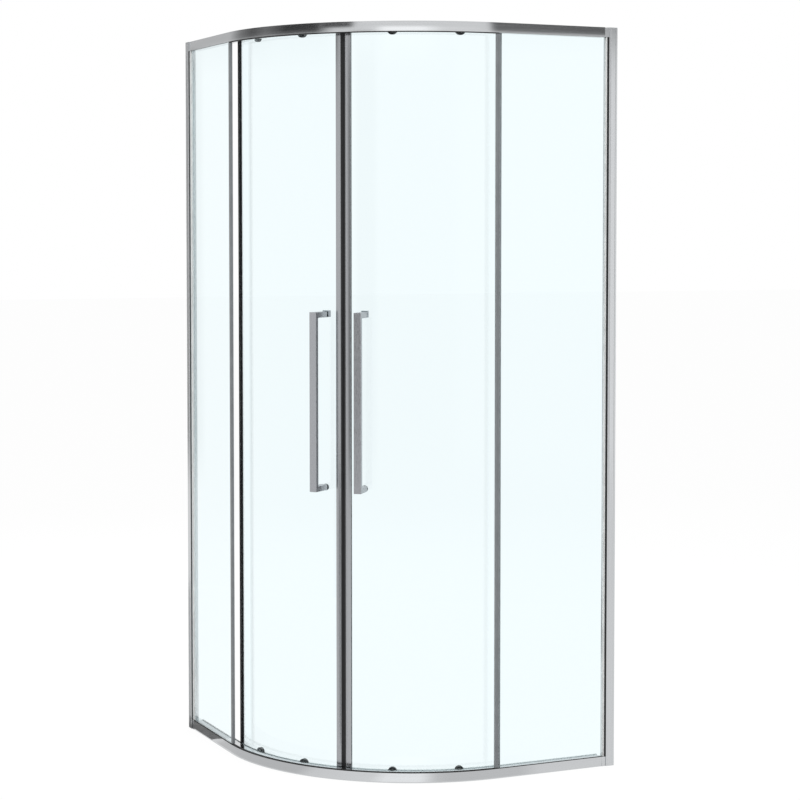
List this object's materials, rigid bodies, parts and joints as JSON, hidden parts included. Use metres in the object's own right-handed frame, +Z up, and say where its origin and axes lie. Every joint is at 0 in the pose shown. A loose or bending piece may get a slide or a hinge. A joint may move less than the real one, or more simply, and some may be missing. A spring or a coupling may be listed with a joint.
{
  "type": "shower enclosure",
  "caption": "Quadrant shower enclosure: two fixed glass panes and two curved sliding doors between aluminium rails, with bar handles and magnetic seals.",
  "frame": {"origin": "centre of the base of the bounding box, on the tray, midway between the two walls' planes and the two outer faces", "axes": "+Z up; +X towards the right-hand wall that the right fixed pane is fixed to; +Y towards the back wall that the left fixed pane is fixed to; the doors bow towards -X -Y"},
  "size_m": [0.9, 0.9, 1.98],
  "materials": {
    "aluminium": "bright polished anodised aluminium extrusion",
    "chrome": "chrome-plated zinc, smooth",
    "glass": "clear toughened safety glass with polished edges",
    "rubber": "black extruded EPDM rubber",
    "black_pvc": "soft black PVC extrusion",
    "grey_pvc": "dark grey PVC clip-on seal",
    "magnet": "plastic-bonded ferrite strip",
    "black_plastic": "moulded black acetal",
    "grey_plastic": "moulded silver-grey ABS",
    "nylon": "natural white nylon",
    "steel": "turned stainless steel"
  },
  "bodies": {
    "frame": {"top_rail": "aluminium", "bottom_rail": "aluminium", "left_wall_channel": "aluminium", "right_wall_channel": "aluminium", "left_wall_post": "aluminium", "right_wall_post": "aluminium", "left_fixed_glass": "glass", "right_fixed_glass": "glass", "left_glazing_gasket": "rubber", "right_glazing_gasket": "rubber", "left_edge_seal": "grey_pvc", "right_edge_seal": "grey_pvc", "left_wiper": "rubber", "right_wiper": "rubber", "corner_blocks": "black_plastic", "corner_screws": "steel", "adjusting_screws": "steel", "end_covers": "grey_plastic", "door_stops": "rubber"},
    "left_door": {"left_door_glass": "glass", "left_meeting_stile": "aluminium", "left_magnet_seal": "black_pvc", "left_magnet": "magnet", "left_trailing_seal": "grey_pvc", "left_handle": "chrome", "left_handle_washers": "nylon", "left_handle_knob": "chrome", "left_handle_nut": "chrome", "left_handle_bolts": "steel", "left_carriages": "black_plastic", "left_guides": "black_plastic", "left_axles": "steel", "left_axle_washers": "nylon"},
    "right_door": {"right_door_glass": "glass", "right_meeting_stile": "aluminium", "right_magnet_seal": "black_pvc", "right_magnet": "magnet", "right_trailing_seal": "grey_pvc", "right_handle": "chrome", "right_handle_washers": "nylon", "right_handle_knob": "chrome", "right_handle_nut": "chrome", "right_handle_bolts": "steel", "right_carriages": "black_plastic", "right_guides": "black_plastic", "right_axles": "steel", "right_axle_washers": "nylon"},
    "left_near_wheel": {"left_near_wheel": "nylon"},
    "right_near_wheel": {"right_near_wheel": "nylon"},
    "left_far_wheel": {"left_far_wheel": "nylon"},
    "right_far_wheel": {"right_far_wheel": "nylon"},
    "left_near_guide_wheel": {"left_near_guide_wheel": "nylon"},
    "right_near_guide_wheel": {"right_near_guide_wheel": "nylon"},
    "left_far_guide_wheel": {"left_far_guide_wheel": "nylon"},
    "right_far_guide_wheel": {"right_far_guide_wheel": "nylon"}
  },
  "joints": [
    {"name": "left_door_travel", "type": "hinge", "parent": "frame", "child": "left_door", "pos_m": [0.283, 0.146, 0.99], "axis": [0, 0, -1], "range_deg": [0, 21.29]},
    {"name": "right_door_travel", "type": "hinge", "parent": "frame", "child": "right_door", "pos_m": [0.146, 0.283, 0.99], "axis": [0, 0, 1], "range_deg": [0, 21.29]},
    {"name": "left_near_wheel_spin", "type": "hinge", "parent": "left_door", "child": "left_near_wheel", "pos_m": [-0.41847, 0.00954, 1.9641], "axis": [-0.9851, -0.1719, 0], "range_deg": [0, 1903]},
    {"name": "left_near_guide_wheel_spin", "type": "hinge", "parent": "left_door", "child": "left_near_guide_wheel", "pos_m": [-0.41847, 0.00954, 0.0159], "axis": [-0.9851, -0.1719, 0], "range_deg": [-1903, 0]},
    {"name": "left_far_wheel_spin", "type": "hinge", "parent": "left_door", "child": "left_far_wheel", "pos_m": [-0.35434, -0.16565, 1.9641], "axis": [-0.8633, -0.5047, 0], "range_deg": [0, 1890]},
    {"name": "left_far_guide_wheel_spin", "type": "hinge", "parent": "left_door", "child": "left_far_guide_wheel", "pos_m": [-0.35434, -0.16565, 0.0159], "axis": [-0.8633, -0.5047, 0], "range_deg": [-1890, 0]},
    {"name": "right_near_wheel_spin", "type": "hinge", "parent": "right_door", "child": "right_near_wheel", "pos_m": [0.00954, -0.41847, 1.9641], "axis": [-0.1719, -0.9851, 0], "range_deg": [-1903, 0]},
    {"name": "right_near_guide_wheel_spin", "type": "hinge", "parent": "right_door", "child": "right_near_guide_wheel", "pos_m": [0.00954, -0.41847, 0.0159], "axis": [-0.1719, -0.9851, 0], "range_deg": [0, 1903]},
    {"name": "right_far_wheel_spin", "type": "hinge", "parent": "right_door", "child": "right_far_wheel", "pos_m": [-0.16565, -0.35434, 1.9641], "axis": [-0.5047, -0.8633, 0], "range_deg": [-1890, 0]},
    {"name": "right_far_guide_wheel_spin", "type": "hinge", "parent": "right_door", "child": "right_far_guide_wheel", "pos_m": [-0.16565, -0.35434, 0.0159], "axis": [-0.5047, -0.8633, 0], "range_deg": [0, 1890]}
  ],
  "couplings": [
    {"joint": "left_near_wheel_spin", "follows": "left_door_travel", "ratio": 89.327},
    {"joint": "left_near_guide_wheel_spin", "follows": "left_door_travel", "ratio": -89.327},
    {"joint": "left_far_wheel_spin", "follows": "left_door_travel", "ratio": 88.682},
    {"joint": "left_far_guide_wheel_spin", "follows": "left_door_travel", "ratio": -88.682},
    {"joint": "right_near_wheel_spin", "follows": "right_door_travel", "ratio": -89.327},
    {"joint": "right_near_guide_wheel_spin", "follows": "right_door_travel", "ratio": 89.327},
    {"joint": "right_far_wheel_spin", "follows": "right_door_travel", "ratio": -88.682},
    {"joint": "right_far_guide_wheel_spin", "follows": "right_door_travel", "ratio": 88.682}
  ]
}
